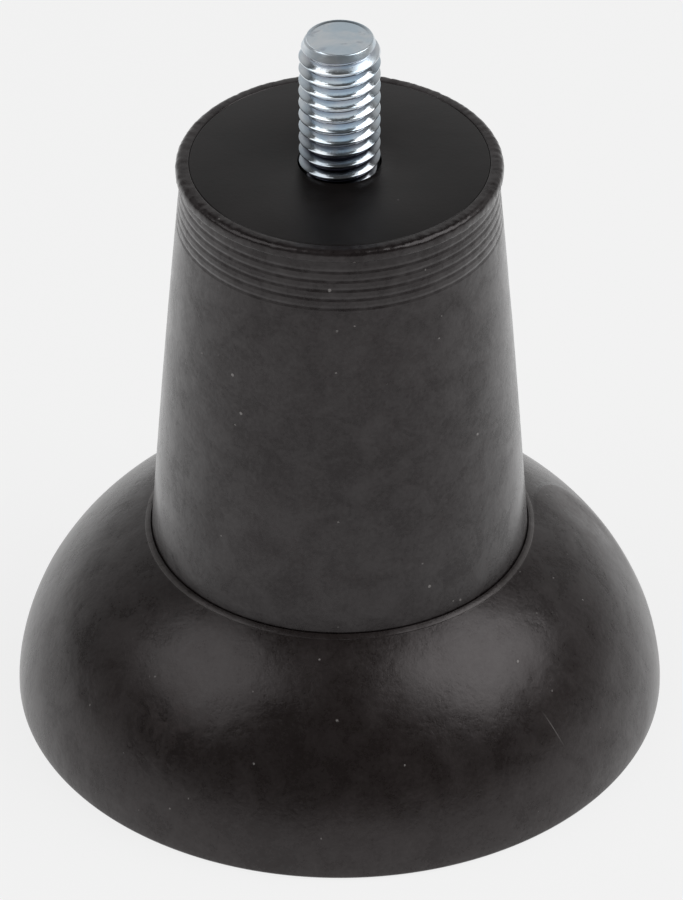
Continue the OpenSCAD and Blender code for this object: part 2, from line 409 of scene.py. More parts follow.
class NodeSheet:
    """The nodes of one material or world, with short ways to add the ones that are used."""

    def __init__(self, owner: bpy.types.Material | bpy.types.World) -> None:
        """Clears the nodes of a material or a world, and adds a material's shader and output.

        Args:
            owner: The material or world to write on.
        """
        owner.use_nodes = True
        self.tree = owner.node_tree
        self.tree.nodes.clear()
        if isinstance(owner, bpy.types.World):
            self.place = self.add("ShaderNodeTexCoord", output="Generated")
            return
        self.shader = self.tree.nodes.new("ShaderNodeBsdfPrincipled")
        output = self.tree.nodes.new("ShaderNodeOutputMaterial")
        self.tree.links.new(self.shader.outputs["BSDF"], output.inputs["Surface"])
        self.place = self.add("ShaderNodeTexCoord", output="Object")

    def add(self, kind: str, settings: dict | None = None, inputs: dict | None = None,
            output: int | str = 0) -> Signal:
        """Adds any node.

        Args:
            kind: The node's type.
            settings: Its own settings, set before its sockets.
            inputs: Values or links of its sockets.
            output: Which output to return.

        Returns:
            That output.
        """
        node = self.tree.nodes.new(kind)
        for key, value in (settings or {}).items():
            setattr(node, key, value)
        for key, value in (inputs or {}).items():
            self.feed(node.inputs[key], value)
        return Signal(self, node.outputs[output])

    def feed(self, socket: bpy.types.NodeSocket, value: object) -> None:
        """Links a signal to a socket, or sets the socket's own value.

        Args:
            socket: The socket to fill.
            value: A signal, a number, a vector or a colour.
        """
        if isinstance(value, Signal):
            self.tree.links.new(value.socket, socket)
        elif socket.type == "RGBA":
            socket.default_value = (*value, 1)
        else:
            socket.default_value = value

    def stretched(self, scale: tuple[float, float, float]) -> Signal:
        """Gives the place on the piece, scaled along each axis."""
        return self.add("ShaderNodeMapping", None, {"Vector": self.place, "Scale": scale})

    def noise(self, wave: float, detail: float = 3, place: Signal | None = None,
              rough: float = 0.55, warp: float = 0.0) -> Signal:
        """Adds soft noise.

        Args:
            wave: The width of its largest features.
            detail: How many finer layers it has.
            place: The coordinates it reads, or the place on the piece.
            rough: The share of each finer layer.
            warp: How far it is distorted.

        Returns:
            A signal from 0 to 1.
        """
        inputs = {"Vector": place or self.place, "Scale": 1 / wave, "Detail": detail,
                  "Roughness": rough, "Distortion": warp}
        return self.add("ShaderNodeTexNoise", None, inputs, "Fac")

    def fade(self, signal: Signal, low: float, high: float,
             start: float = 0.0, end: float = 1.0) -> Signal:
        """Goes smoothly from start to end while the signal goes from low to high."""
        inputs = {"Value": signal, "From Min": low, "From Max": high, "To Min": start, "To Max": end}
        return self.add("ShaderNodeMapRange", {"interpolation_type": "SMOOTHSTEP"}, inputs)

    def blend(self, share: Number, first: Colour | Signal, second: Colour | Signal) -> Signal:
        """Mixes two colours by a share from 0 to 1."""
        settings = {"data_type": "RGBA", "clamp_factor": True}
        return self.add("ShaderNodeMix", settings, {0: share, 6: first, 7: second}, 2)

    def bump(self, height: Signal, depth: float, below: Signal | None = None) -> Signal:
        """Adds relief.

        Args:
            height: The relief, from 0 to 1.
            depth: Its full height.
            below: Relief that it lies on.

        Returns:
            The bent normal.
        """
        inputs = {"Height": height, "Distance": depth, "Strength": 1.0}
        if below is not None:
            inputs["Normal"] = below
        return self.add("ShaderNodeBump", None, inputs)

    def along(self, axis: str) -> Signal:
        """Gives the place on the piece along one axis."""
        return self.add("ShaderNodeSeparateXYZ", None, {0: self.place}, axis)

    def from_axis(self) -> Signal:
        """Gives the distance from the Z axis."""
        flat = self.add("ShaderNodeVectorMath", {"operation": "MULTIPLY"}, {0: self.place, 1: (1, 1, 0)})
        return self.add("ShaderNodeVectorMath", {"operation": "LENGTH"}, {0: flat}, "Value")

    def near(self, point: Vector, reach: float) -> Signal:
        """Gives 1 at a point, falling to 0 at a distance from it."""
        distance = self.add("ShaderNodeVectorMath", {"operation": "DISTANCE"},
                            {0: self.place, 1: tuple(point)}, "Value")
        return self.fade(distance, 0.0, reach, 1.0, 0.0)

    def ridge(self, mark: "Mark") -> Signal:
        """Gives a fine ridge, which rises along its slope and drops at its edge.

        Args:
            mark: The ridge's place and shape.

        Returns:
            1 on the ridge and 0 away from it.
        """
        normal = (mark.middle - mark.first).cross(mark.last - mark.first).normalized()
        plane = self.along("X") * normal.x + self.along("Y") * normal.y + self.along("Z") * normal.z
        side = plane - normal.dot(mark.first)
        rising = self.fade(side, -mark.slope, 0.0)
        falling = self.fade(side, 0.0, mark.edge, 1.0, 0.0)
        return rising * falling * self.near(mark.middle, mark.reach)

    def dots(self, spacing: float, size: float, share: float) -> Signal:
        """Adds small separate specks.

        Args:
            spacing: The usual distance between two candidate specks.
            size: The largest speck's radius.
            share: The share of candidates that show.

        Returns:
            A mask that is 1 on a speck.
        """
        inputs = {"Vector": self.place, "Scale": 1 / spacing, "Randomness": 1.0}
        cells = self.add("ShaderNodeTexVoronoi", None, inputs, "Distance")
        tints = self.add("ShaderNodeTexVoronoi", None, inputs, "Color")
        pick = self.add("ShaderNodeSeparateColor", None, {0: tints}, "Red")
        chosen = self.fade(pick, 1 - share, 1 - share + 0.02)
        grain = self.noise(size, 2)
        radius = size / spacing
        spot = self.fade(cells + (grain - 0.5) * radius, radius * 0.5, radius, 1.0, 0.0)
        return spot * chosen

    def hairlines(self, place: Signal, wave: float, width: float, share: float) -> Signal:
        """Adds fine broken lines, as handling leaves.

        Args:
            place: The coordinates, usually stretched along the lines.
            wave: The usual distance between lines.
            width: The line's width as a share of the noise's range.
            share: The share of each line's length that shows.

        Returns:
            A mask that is 1 on a line.
        """
        field_of_lines = self.noise(wave, 1, place)
        line = self.fade(abs(field_of_lines - 0.5), 0.0, width, 1.0, 0.0)
        gaps = self.fade(self.noise(wave * 1.7, 2, place, warp=0.6), 1 - share, 1.06 - share)
        return line * gaps

    def finish(self, **sockets: object) -> None:
        """Feeds the shader's sockets, with underscores in place of spaces in their names."""
        for name, value in sockets.items():
            self.feed(self.shader.inputs[name.replace("_", " ")], value)


class Finish:
    """A surface finish that can be put on pieces."""

    name: str = "finish"
    slot: str = ""

    def write(self, sheet: NodeSheet) -> None:
        """Writes the finish's nodes.

        Args:
            sheet: The empty node sheet of its material.
        """
        raise NotImplementedError

    def material(self) -> bpy.types.Material:
        """Gives the material, which is made once.

        Returns:
            The material.
        """
        title = f"finish_{self.name}"
        made = bpy.data.materials.get(title)
        if made is None:
            made = bpy.data.materials.new(title)
            self.write(NodeSheet(made))
        return made

    def put_on(self, piece: bpy.types.Object) -> None:
        """Makes this the piece's only material.

        Args:
            piece: The piece to dress.
        """
        piece.data.materials.clear()
        piece.data.materials.append(self.material())


@dataclass(frozen=True)
class Mark:
    """A fine ridge in the rubber, where the plane through three points meets the skin.

    It fades out at its reach from the middle point. Its slope and edge are the widths over which it
    rises and drops, and pale is the share of the dust colour in it: real wear on a scratch, and a
    painted highlight on a crease.
    """

    first: Vector
    middle: Vector
    last: Vector
    reach: float
    slope: float
    edge: float
    height: float
    pale: float


@dataclass(frozen=True)
class Scuff:
    """A rubbed patch, which fades out at its reach from its middle."""

    middle: Vector
    reach: float


@dataclass(frozen=True)
class Rubber(Finish):
    """Black moulded rubber with a handled sheen, dust specks, fine scratches, and painted highlights along
    its lip and creases.
    """

    name: str = "rubber"
    slot: str = "neck_rubber"
    colour: Colour = (0.0080, 0.0058, 0.0058)
    bloom: Colour = (0.0170, 0.0135, 0.0135)
    dust: Colour = (0.36, 0.34, 0.33)
    roughness: float = 0.30
    gloss: float = 0.31
    film: float = 0.9
    smudge: float = 0.10
    mottle: float = 0.12
    dust_share: float = 0.24
    film_roughness: float = 0.2
    cloud_size: float = 11 * MM
    patch_size: float = 2.6 * MM
    grain_size: float = 0.32 * MM
    speck_spacing: float = 1.25 * MM
    speck_size: float = 0.10 * MM
    lint_spacing: float = 3.4 * MM
    lint_size: float = 0.17 * MM
    worn_tone: float = 2.2
    # The height whose rim gets a painted highlight at both sides. It is far above a piece that has no such
    # rim
    lip: float = 1.0
    scuffs: tuple[Scuff, ...] = ()
    ridges: tuple[Mark, ...] = ()

    def painted_lip_highlight(self, sheet: NodeSheet, patches: Signal) -> Signal:
        """Gives a painted highlight: a pale line along the lip, at the left and right only.

        Args:
            sheet: The node sheet.
            patches: The unevenness of the painted highlight.

        Returns:
            The share of the dust colour that paints the highlight.
        """
        above = sheet.fade(sheet.along("Z"), self.lip - 0.36 * MM, self.lip - 0.26 * MM)
        below = sheet.fade(sheet.along("Z"), self.lip - 0.18 * MM, self.lip - 0.08 * MM, 1.0, 0.0)
        sides = sheet.fade(abs(sheet.along("X")), 6 * MM, 12 * MM)
        return above * below * sides * (patches * 0.10 + 0.08)

    def write(self, sheet: NodeSheet) -> None:
        """Writes the rubber.

        Args:
            sheet: The empty node sheet of its material.
        """
        clouds = sheet.noise(self.cloud_size, 4, warp=0.8)
        patches = sheet.noise(self.patch_size, 4, warp=0.6)
        grain = sheet.noise(self.grain_size, 3, rough=0.7)
        specks = sheet.dots(self.speck_spacing, self.speck_size, self.dust_share)
        lint = sheet.dots(self.lint_spacing, self.lint_size, 0.5)
        drawn = sheet.stretched((1.0, 1.0, 0.12))
        marks = sheet.hairlines(drawn, 3.1 * MM, 0.006, 0.32)
        scuff = sheet.fade(clouds, 0.62, 0.82) * 0.4
        for patch in self.scuffs:
            worn = sheet.near(patch.middle, patch.reach)
            scuff = scuff.larger(worn * sheet.fade(sheet.noise(1.4 * MM, 4, warp=1.2), 0.40, 0.66))
        # Dust specks and lint, the pale scratch, and painted highlights on the lip and the crease
        dust_wear_and_highlights = (specks * 0.45).larger(lint * 0.55).larger(self.painted_lip_highlight(sheet, patches))
        for ridge in self.ridges:
            dust_wear_and_highlights = dust_wear_and_highlights.larger(sheet.ridge(ridge) * ridge.pale)
        shade = clouds * 0.4 + patches * 0.35 + grain * 0.25
        base = sheet.blend(sheet.fade(shade, 0.38, 0.62), self.colour, self.bloom)
        worn_colour = tuple(self.worn_tone * part for part in self.bloom)
        worn_base = sheet.blend(scuff * 0.5 + marks * 0.4, base, worn_colour)
        # The dust colour also paints the highlights on the lip and the crease
        dusted = sheet.blend(dust_wear_and_highlights, worn_base, self.dust)
        roughness = (self.roughness + (clouds - 0.5) * self.smudge * 2
                     + (patches - 0.5) * self.mottle * 2
                     + (grain - 0.5) * 0.14 + scuff * 0.14 + specks * 0.3)
        waves = sheet.bump(sheet.noise(5.0 * MM, 3), 0.09 * MM)
        dimples = sheet.bump(patches, 0.045 * MM, waves)
        skin = sheet.bump(grain, 0.016 * MM, dimples)
        scratched = sheet.bump(1.0 - marks, 0.005 * MM, skin)
        for ridge in self.ridges:
            scratched = sheet.bump(sheet.ridge(ridge), ridge.height, scratched)
        dusty = sheet.bump(specks.larger(lint), 0.02 * MM, scratched)
        film = sheet.fade(patches * 0.55 + grain * 0.45, 0.30, 0.70, self.film * 0.15, self.film)
        sheet.finish(Base_Color=dusted, Roughness=roughness, Normal=dusty,
                     Specular_IOR_Level=self.gloss, Specular_Tint=(1.0, 0.93, 0.94),
                     Coat_Weight=film, Coat_Roughness=self.film_roughness, Coat_IOR=1.33,
                     Sheen_Weight=0.05, Sheen_Roughness=0.28, Sheen_Tint=(1.0, 0.96, 0.97))


@dataclass(frozen=True)
class ZincPlate(Finish):
    """Bright blue-white zinc plate on rolled steel, with painted shade that darkens its roots and the
    turns near the plate.
    """

    name: str = "zinc_plate"
    slot: str = "zinc_steel"
    colour: Colour = (0.58, 0.68, 0.76)
    pale: Colour = (0.74, 0.78, 0.81)
    # The colour of the painted shade in the thread roots; the random stains take it too
    root: Colour = (0.13, 0.12, 0.20)
    # The colour of the painted shade on the turns near the plate
    plate_shade: Colour = (0.030, 0.028, 0.045)
    roughness: float = 0.14
    root_radius: float = 2.45 * MM
    crest_radius: float = 2.85 * MM
    foot: float = Extent.of("top_plate").top
    # Heights above the plate over which the painted shade fades out
    plate_shade_from: float = 1.6 * MM
    plate_shade_to: float = 4.2 * MM
    tip: float = Extent.of("stud_bolt").top
    tip_height: float = 1.1 * MM

    def write(self, sheet: NodeSheet) -> None:
        """Writes the zinc.

        Args:
            sheet: The empty node sheet of its material.
        """
        tint = sheet.noise(2.6 * MM, 3, warp=0.6)
        crystals = sheet.noise(0.16 * MM, 2)
        rolled = sheet.noise(0.5 * MM, 3, sheet.stretched((1.0, 1.0, 7.0)))
        deep = sheet.fade(sheet.from_axis(), self.root_radius, self.crest_radius, 1.0, 0.0)
        below_tip = sheet.fade(sheet.along("Z"), self.tip - 0.7 * MM, self.tip - 0.4 * MM, 1.0, 0.0)
        stain = sheet.fade(sheet.noise(1.1 * MM, 4, warp=1.0), 0.58, 0.75)
        plated = sheet.blend(sheet.fade(tint, 0.35, 0.68), self.colour, self.pale)
        # Painted shade in the thread roots below the tip, mixed with random stains
        stained_and_root_shaded = sheet.blend(deep * below_tip * 0.3 + stain * 0.22, plated, self.root)
        # Painted shade on the turns just above the plate, stronger in the roots
        shade_near_plate = sheet.fade(sheet.along("Z"), self.foot + self.plate_shade_from,
                              self.foot + self.plate_shade_to, 1.0, 0.0)
        plate_shaded = sheet.blend(shade_near_plate * (deep * 0.55 + 0.4), stained_and_root_shaded, self.plate_shade)
        turned = (sheet.fade(sheet.along("Z"), self.tip - self.tip_height - 0.2 * MM,
                             self.tip - self.tip_height)
                  * sheet.fade(sheet.from_axis(), self.root_radius - 0.1 * MM, self.root_radius))
        roughness = (self.roughness + (crystals - 0.5) * 0.08 + (rolled - 0.5) * 0.10
                     + turned * 0.18 + stain * 0.08)
        plate = sheet.bump(crystals, 0.0030 * MM)
        lined = sheet.bump(rolled, 0.0050 * MM, plate)
        sheet.finish(Base_Color=plate_shaded, Roughness=roughness, Normal=lined, Metallic=1.0)


@dataclass(frozen=True)
class SatinBlack(Finish):
    """Satin black paint on the top plate, with dust and faint wipe marks."""

    name: str = "satin_black"
    slot: str = "black_plate"
    colour: Colour = (0.0062, 0.0050, 0.0048)
    pale: Colour = (0.0125, 0.0105, 0.0105)
    dust: Colour = (0.16, 0.145, 0.14)
    roughness: float = 0.36

    def write(self, sheet: NodeSheet) -> None:
        """Writes the paint.

        Args:
            sheet: The empty node sheet of its material.
        """
        clouds = sheet.noise(5.5 * MM, 4, warp=0.7)
        peel = sheet.noise(0.35 * MM, 2)
        wipes = sheet.noise(2.4 * MM, 3, sheet.stretched((0.25, 1.6, 1.0)))
        specks = sheet.dots(1.5 * MM, 0.07 * MM, 0.22)
        round_stud = sheet.fade(sheet.from_axis(), 3.3 * MM, 4.6 * MM, 1.0, 0.0)
        worn = round_stud * sheet.fade(clouds, 0.4, 0.7)
        base = sheet.blend(sheet.fade(clouds, 0.3, 0.72) + worn * 0.6, self.colour, self.pale)
        dusted = sheet.blend(specks * 0.6, base, self.dust)
        roughness = (self.roughness + (clouds - 0.5) * 0.14 + (wipes - 0.5) * 0.12
                     - worn * 0.12 + specks * 0.2)
        skin = sheet.bump(peel, 0.006 * MM)
        dusty = sheet.bump(specks, 0.015 * MM, skin)
        sheet.finish(Base_Color=dusted, Roughness=roughness, Normal=dusty, Specular_IOR_Level=0.36)


@dataclass(frozen=True)
class Nylon(Finish):
    """Moulded nylon, with a fine flow pattern."""

    name: str = "black_nylon"
    slot: str = "black_nylon"
    colour: Colour = (0.022, 0.022, 0.024)
    pale: Colour = (0.05, 0.05, 0.052)
    roughness: float = 0.46

    def write(self, sheet: NodeSheet) -> None:
        """Writes the nylon.

        Args:
            sheet: The empty node sheet of its material.
        """
        flow = sheet.noise(4.5 * MM, 4, warp=1.6)
        fibres = sheet.noise(0.4 * MM, 3, sheet.stretched((1.0, 2.6, 1.0)))
        grain = sheet.noise(0.12 * MM, 2)
        share = sheet.fade(flow * 0.65 + fibres * 0.35, 0.34, 0.7)
        roughness = self.roughness + (flow - 0.5) * 0.16 + (fibres - 0.5) * 0.14
        skin = sheet.bump(fibres, 0.006 * MM)
        grained = sheet.bump(grain, 0.003 * MM, skin)
        sheet.finish(Base_Color=sheet.blend(share, self.colour, self.pale), Roughness=roughness,
                     Normal=grained, Specular_IOR_Level=0.5)


NECK_RUBBER = Rubber(name="neck_rubber", slot="neck_rubber")
# A crease on the right shoulder: a raised ridge, with a painted highlight along it in the dust colour
CREASE = Mark(
    first=Vector((15.9, 6.0, 13.7)) * MM, middle=Vector((18.4, 8.5, 10.9)) * MM,
    last=Vector((20.4, 8.2, 8.8)) * MM, reach=10 * MM, slope=0.9 * MM, edge=0.12 * MM,
    height=0.7 * MM, pale=0.12,
)
SCRATCH = Mark(
    first=Vector((15.6, -16.0, 8.3)) * MM, middle=Vector((16.1, -16.2, 7.5)) * MM,
    last=Vector((0, 0, 6)) * MM, reach=2.1 * MM, slope=0.07 * MM, edge=0.07 * MM,
    height=0.02 * MM, pale=0.26,
)
BASE_RUBBER = Rubber(
    name="base_rubber", slot="base_rubber",
    colour=(0.0100, 0.0070, 0.0064), bloom=(0.0185, 0.0140, 0.0134),
    film=0.65, gloss=0.36, film_roughness=0.29, lip=Extent.of("sole_boot").top,
    scuffs=(Scuff(Vector((18.6, 4.9, 10.8)) * MM, 7 * MM), Scuff(Vector((-12, -17, 9)) * MM, 5 * MM)),
    ridges=(CREASE, SCRATCH),
)
ZINC = ZincPlate()
PLATE_BLACK = SatinBlack()
BLACK_NYLON = Nylon()
WHITE_NYLON = Nylon(name="white_nylon", slot="white_nylon", colour=(0.70, 0.69, 0.64),
                    pale=(0.82, 0.81, 0.77), roughness=0.38)


# ---------------------------------------------------------------- the pieces


def settle(piece: bpy.types.Object, finish: Finish, body: Body, *nodes: str) -> None:
    """Dresses a finished piece and hands it to the frame.

    Args:
        piece: The finished piece.
        finish: Its finish.
        body: The body that it moves with.
        nodes: The nodes that it stands for.
    """
    apply_place(piece)
    finish.put_on(piece)
    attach(piece, body.value)
    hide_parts(*nodes)
    log.info("%s: %d faces, rides on %s", piece.name, len(piece.data.polygons), body.value)


@dataclass
class Thread:
    """A right-hand metric thread round the Z axis, with a crest in front at a chosen height."""

    crest: float
    bottom: float
    top: float
    front_crest: float = 0.0
    pitch: float = 1.0 * MM
    depth: float = 0.613 * MM
    steps: int = 80
    # Half of one pitch, from the root to the crest: share of the pitch and share of the depth
    flank: tuple[tuple[float, float], ...] = (
        (0.0, 0.0), (0.05, 0.01), (0.095, 0.06), (0.14, 0.17),
        (0.40, 0.89), (0.435, 0.965), (0.46, 1.0),
    )

    def build(self, name: str) -> bpy.types.Object:
        """Models the threaded rod, which runs past both of its heights by a pitch or more.

        Args:
            name: The new object's name.

        Returns:
            The closed rod.
        """
        root = self.crest - self.depth
        # The outline starts at a root on +X, so the crest in front is a quarter turn behind it
        start = self.front_crest - 1.25 * self.pitch
        start -= math.ceil((start - self.bottom) / self.pitch + 2) * self.pitch
        rising = [Vector((root + height * self.depth, start + share * self.pitch))
                  for share, height in self.flank]
        falling = [Vector((point.x, 2 * start + self.pitch - point.y)) for point in reversed(rising)]
        rod = draw_outline(name, rising + falling, closed=False)
        bpy.ops.object.mode_set(mode="OBJECT")
        turns = math.ceil((self.top - start) / self.pitch) + 2
        add_modifier(rod, "SCREW", axis="Z", angle=FULL_TURN, screw_offset=self.pitch,
                     iterations=turns, steps=self.steps, render_steps=self.steps,
                     use_merge_vertices=True, merge_threshold=0.01 * self.pitch * MM)
        bpy.ops.object.mode_set(mode="EDIT")
        close_mesh(threshold=2 * WELD)
        bpy.ops.mesh.fill_holes(sides=0)
        bpy.ops.mesh.quads_convert_to_tris()
        close_mesh(threshold=WELD)
        bpy.ops.object.mode_set(mode="OBJECT")
        return rod


def hexagon(name: str, corner: float, bottom: float, top: float,
            low: bool, high: bool) -> bpy.types.Object:
    """Models a hexagonal block whose corners are turned off at the chosen ends.

    Args:
        name: The new object's name.
        corner: The radius across the corners.
        bottom: The block's lower height.
        top: The block's upper height.
        low: Whether the lower end's corners are turned off.
        high: Whether the upper end's corners are turned off.

    Returns:
        The block.
    """
    start_fresh()
    spare = 1 * MM
    bpy.ops.mesh.primitive_cylinder_add(
        vertices=6, radius=corner, depth=top - bottom + 2 * spare,
        location=(0, 0, (bottom + top) / 2), rotation=(0, 0, HEXAGON_HALF),
    )
    block = bpy.context.object
    block.name = name
    apply_place(block)
    wide = corner + spare
    # The turned face is a little narrower than the flats, at the usual angle of 30 degrees
    face = corner * math.cos(HEXAGON_HALF) * 0.98
    drop = (wide - face) * math.tan(math.radians(30))
    low_end = [Vector((face, bottom)), Vector((wide, bottom + drop))] if low else [Vector((wide, bottom))]
    high_end = [Vector((wide, top - drop)), Vector((face, top))] if high else [Vector((wide, top))]
    outline = [Vector((0, bottom)), *low_end, *high_end, Vector((0, top))]
    turned = spin_piece("turned_block", outline, 96)
    combine(block, turned, Cut.KEEP)
    return block


@dataclass
class StudBolt:
    """The bolt whose threaded end stands out of the foot."""

    room: Extent = field(default_factory=lambda: Extent.of("stud_bolt"))
    washer: Extent = field(default_factory=lambda: Extent.of("head_washer"))
    crest: float = field(default_factory=lambda: stud_mount()["dims"]["r_mm"] * MM)
    shank_radius: float = 2.67 * MM
    thread_bottom: float = 33 * MM
    front_crest: float = 48.34 * MM
    tip_height: float = 1.2 * MM
    tip_width: float = 0.55 * MM
    tip_edge: float = 0.12 * MM
    tip_dish: float = 0.05 * MM
    dish_width: float = 2.1 * MM
    dish_depth: float = 0.45 * MM

    def build_head(self) -> bpy.types.Object:
        """Models the forged hexagon head with its shallow dish.

        Returns:
            The head.
        """
        head = hexagon("bolt_head", self.room.radius, self.room.bottom, self.washer.bottom, True, False)
        add_modifier(head, "BEVEL", width=0.1 * MM, segments=3, limit_method="ANGLE",
                     angle_limit=math.radians(40), use_clamp_overlap=True)
        rim = self.room.radius - self.dish_width
        dish = spin_piece("dish", rounded([
            Corner(0, self.room.bottom - self.dish_depth),
            Corner(rim + self.dish_depth, self.room.bottom - self.dish_depth),
            Corner(rim - 0.1 * MM, self.room.bottom + 0.1 * MM, 0.15 * MM),
            Corner(rim - self.dish_depth, self.room.bottom + self.dish_depth, 0.4 * MM),
            Corner(0, self.room.bottom + self.dish_depth * 1.2),
        ]), 96)
        combine(head, dish, Cut.REMOVE)
        return head

    def build_shaft(self) -> bpy.types.Object:
        """Models the plain shank, the thread above it and the turned tip.

        Returns:
            The shaft.
        """
        tip = self.room.top
        spare = 1 * MM
        thread = Thread(self.crest, self.thread_bottom, tip + spare, self.front_crest)
        shaft = thread.build("stud_bolt_threaded")
        slope = self.tip_height / self.tip_width
        face = self.crest - self.tip_width
        turned = spin_piece("turned_tip", rounded([
            Corner(0, self.thread_bottom + 0.5 * spare),
            Corner(self.crest + spare, self.thread_bottom + 0.5 * spare),
            Corner(self.crest + spare, tip - (self.tip_width + spare) * slope),
            Corner(face, tip, self.tip_edge),
            Corner(face - 0.3 * MM, tip - self.tip_dish, 0.2 * MM),
            Corner(0, tip - self.tip_dish),
        ]), 144)
        combine(shaft, turned, Cut.KEEP)
        shank = spin_piece("shank", [
            Vector((0, self.washer.bottom - spare)),
            Vector((self.shank_radius, self.washer.bottom - spare)),
            Vector((self.shank_radius, self.thread_bottom + 0.7 * spare)),
            Vector((self.crest - thread.depth, self.thread_bottom + 1.2 * spare)),
            Vector((0, self.thread_bottom + 1.2 * spare)),
        ], 72)
        combine(shaft, shank, Cut.JOIN)
        return shaft

    def build(self) -> None:
        """Models the bolt and hands it over."""
        shaft = self.build_shaft()
        combine(shaft, self.build_head(), Cut.JOIN)
        smooth(shaft, 32)
        settle(shaft, ZINC, Body.LEG, "stud_bolt")


@dataclass
class Neck:
    """The part that turns with the stud: the rubber sleeve, the top plate and the nut inside."""

    sleeve: Extent = field(default_factory=lambda: Extent.of("neck_sleeve"))
    plate: Extent = field(default_factory=lambda: Extent.of("top_plate"))
    nut: Extent = field(default_factory=lambda: Extent.of("lock_nut"))
    crest: float = field(default_factory=lambda: stud_mount()["dims"]["r_mm"] * MM)
    wall: float = 2 * MM
    rim_width: float = 1 * MM
    rim_out: float = 0.35 * MM
    rim_height: float = 0.95 * MM
    rim_round: float = 0.58 * MM
    rim_under: float = 0.40 * MM
    undercut: float = 0.04 * MM
    cove: float = 0.5 * MM
    seam: float = 0.1 * MM
    ring_count: int = 5
    ring_pitch: float = 0.76 * MM
    ring_depth: float = 0.055 * MM
    ring_width: float = 0.42 * MM
    ring_first: float = 1.86 * MM
    belly: float = 0.09 * MM
    plate_gap: float = 0.1 * MM
    nut_hexagon: float = 4.8 * MM
    nut_bore: float = 0.02 * MM
    front_crest: float = StudBolt.front_crest
    nylon_radius: float = 3.8 * MM
    nut_collar: float = 4.3 * MM
    collar: float = field(default_factory=lambda: Extent.of("sole_boot").top)
    wall_waves: Waves = Waves(4 * MM, 0.05 * MM, 0.03)
    rim_waves: Waves = Waves(0.42 * MM, 0.1 * MM, 0.11)
    ring_waves: Waves = Waves(0.7 * MM, 0.045 * MM, 0.17)

    def cone(self, height: float) -> float:
        """Gives the outer radius of the neck at a height, with its slight belly."""
        rim_z = self.sleeve.top - self.rim_height
        top_radius = self.plate.radius + self.rim_width - self.rim_out
        share = (height - self.sleeve.bottom) / (rim_z - self.sleeve.bottom)
        straight = self.sleeve.radius + (top_radius - self.sleeve.radius) * share
        return straight + self.belly * math.sin(math.pi * min(max(share, 0.0), 1.0))

    def ring(self, height: float) -> list[Corner]:
        """Gives the corners of one fine groove, from its upper edge downwards."""
        half = self.ring_width / 2
        return [
            Corner(self.cone(height + half), height + half, 0.1 * MM),
            Corner(self.cone(height) - self.ring_depth, height, 0.1 * MM),
            Corner(self.cone(height - half), height - half, 0.1 * MM),
        ]

    def build_sleeve(self) -> None:
        """Models the moulded rubber sleeve, with its rim and fine rings."""
        top, foot = self.sleeve.top, self.sleeve.bottom
        plate_low, edge = self.plate.bottom, self.plate.radius
        rim_z = top - self.rim_height
        rim_radius = edge + self.rim_width
        rings = [self.ring(top - self.ring_first - index * self.ring_pitch)
                 for index in range(self.ring_count)]
        last = rings[-1][-1].z
        stations = 30
        wall = [Corner(self.cone(last + (foot - last) * step / stations),
                       last + (foot - last) * step / stations) for step in range(1, stations)]
        corners = [
            Corner(self.cone(foot) - self.wall, foot, 0.2 * MM),
            Corner(self.cone(plate_low) - self.wall, plate_low),
            Corner(edge, plate_low),
            Corner(edge, top, self.seam),
            Corner(rim_radius, top, self.rim_round),
            Corner(rim_radius, rim_z, self.rim_under),
            Corner(self.cone(rim_z) - self.undercut, rim_z, 0.05 * MM),
            Corner(self.cone(rim_z - self.cove), rim_z - self.cove, 0.15 * MM),
            *[corner for ring in rings for corner in ring],
            *wall,
            Corner(self.cone(foot), foot, 0.3 * MM),
        ]
        piece = spin_piece("neck_sleeve_moulded", rounded(corners, 5), 420)
        self.roughen_sleeve(piece, last, rim_z)
        smooth(piece, 50)
        settle(piece, NECK_RUBBER, Body.LEG, "neck_sleeve")

    def roughen_sleeve(self, piece: bpy.types.Object, last: float, rim_z: float) -> None:
        """Makes the sleeve's wall, rim and rings a little uneven. The wall stays true at the collar.

        Args:
            piece: The sleeve.
            last: The lower edge of the lowest ring.
            rim_z: The height of the rim's underside.
        """
        rim_inside = self.plate.radius + self.rim_width - 0.5 * MM
        roughen(piece, self.wall_waves,
                lambda at: 0.8 * climb(at.z, self.collar, 3 * MM)
                if at.z < last - 0.5 * MM and off_axis(at) > self.cone(at.z) - MM else 0.0)
        roughen(piece, self.rim_waves,
                lambda at: 1.0 if off_axis(at) > rim_inside and at.z > rim_z - 0.1 * MM else 0.0)
        roughen(piece, self.ring_waves,
                lambda at: 1.0 if last - 0.4 * MM < at.z < rim_z - 0.1 * MM
                and off_axis(at) > self.cone(at.z) - 0.4 * MM else 0.0)

    def build_plate(self) -> None:
        """Models the top plate with its pressed edge and clearance hole."""
        hole = self.crest + self.plate_gap
        corners = [
            Corner(hole, self.plate.bottom, 0.1 * MM),
            Corner(self.plate.radius, self.plate.bottom, 0.1 * MM),
            Corner(self.plate.radius, self.plate.top, self.seam),
            Corner(hole, self.plate.top, 0.02 * MM),
        ]
        piece = spin_piece("top_plate_painted", rounded(corners, 5), 192)
        smooth(piece, 40)
        settle(piece, PLATE_BLACK, Body.LEG, "top_plate")

